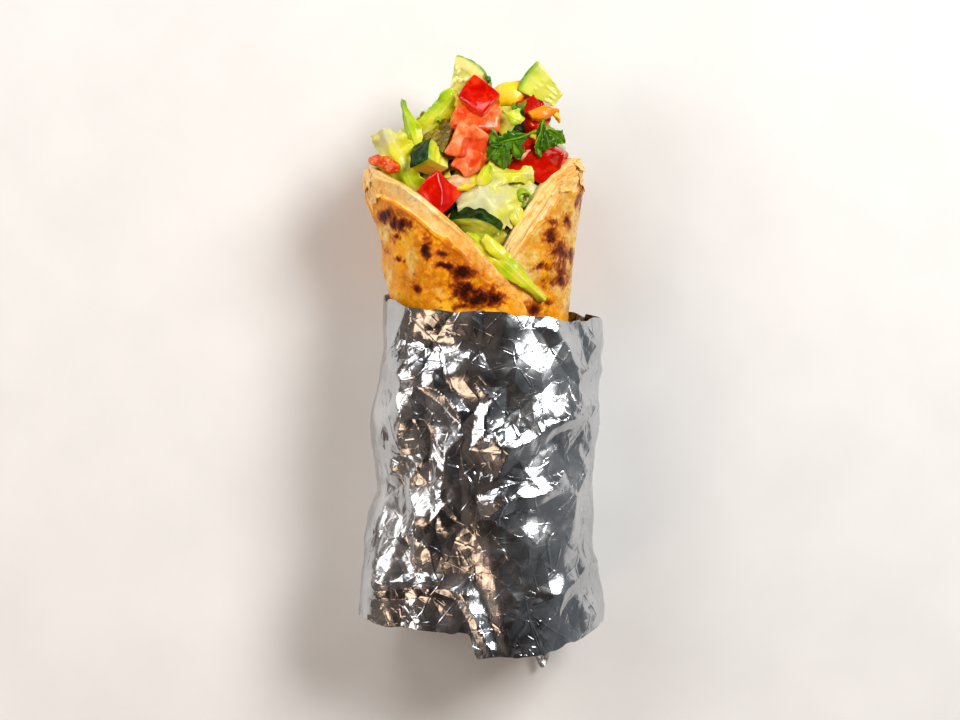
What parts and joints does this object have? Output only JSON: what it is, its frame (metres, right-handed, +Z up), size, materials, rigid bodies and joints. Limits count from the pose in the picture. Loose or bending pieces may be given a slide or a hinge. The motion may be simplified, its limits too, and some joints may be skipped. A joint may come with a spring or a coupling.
{
  "type": "kati roll",
  "caption": "Browned flatbread rolled round chopped tomato, cucumber and lettuce, open at the head, its lower part wrapped in crumpled foil; it lies on its back.",
  "frame": {"origin": "on the surface that the roll lies on, under the middle of its outline", "axes": "+Y along the roll from the foil's hem to the salad, +X to the right as seen from its open front, +Z up, towards the open front"},
  "size_m": [0.0794, 0.2012, 0.0618],
  "materials": {
    "bread": "griddled flatbread, dry and flaky, browned in patches",
    "foil": "bright crumpled kitchen foil",
    "salad": "wet chopped lettuce, cucumber and tomato",
    "tomato": "wet cut tomato, skin and flesh",
    "cucumber": "wet cut cucumber with dark peel",
    "pickle": "olive-brown pickled slice",
    "lettuce": "crisp thin lettuce",
    "parsley": "dark herb leaf",
    "pepper": "wet strip of sweet pepper",
    "onion": "translucent onion",
    "relish": "chopped red relish"
  },
  "bodies": {
    "root": {"bread": "bread", "foil": "foil", "salad_heap": "salad", "relish": "relish", "pickle": "pickle", "tomato_top": "tomato", "tomato_upper": "tomato", "tomato_middle": "tomato", "tomato_lower": "tomato", "tomato_front": "tomato", "tomato_right": "tomato", "tomato_back_right": "tomato", "cucumber_top_left": "cucumber", "cucumber_top_right": "cucumber", "cucumber_left": "cucumber", "cucumber_right": "cucumber", "cucumber_front": "cucumber", "lettuce_strip": "lettuce", "lettuce_centre": "lettuce", "lettuce_stem": "lettuce", "lettuce_upper": "lettuce", "lettuce_right": "lettuce", "lettuce_lower": "lettuce", "lettuce_left": "lettuce", "lettuce_left_back": "lettuce", "lettuce_spike": "lettuce", "lettuce_long": "lettuce", "lettuce_shard": "lettuce", "parsley_leaf": "parsley", "parsley_sprig": "parsley", "pepper_yellow": "pepper", "pepper_orange": "pepper", "onion": "onion"}
  },
  "joints": []
}
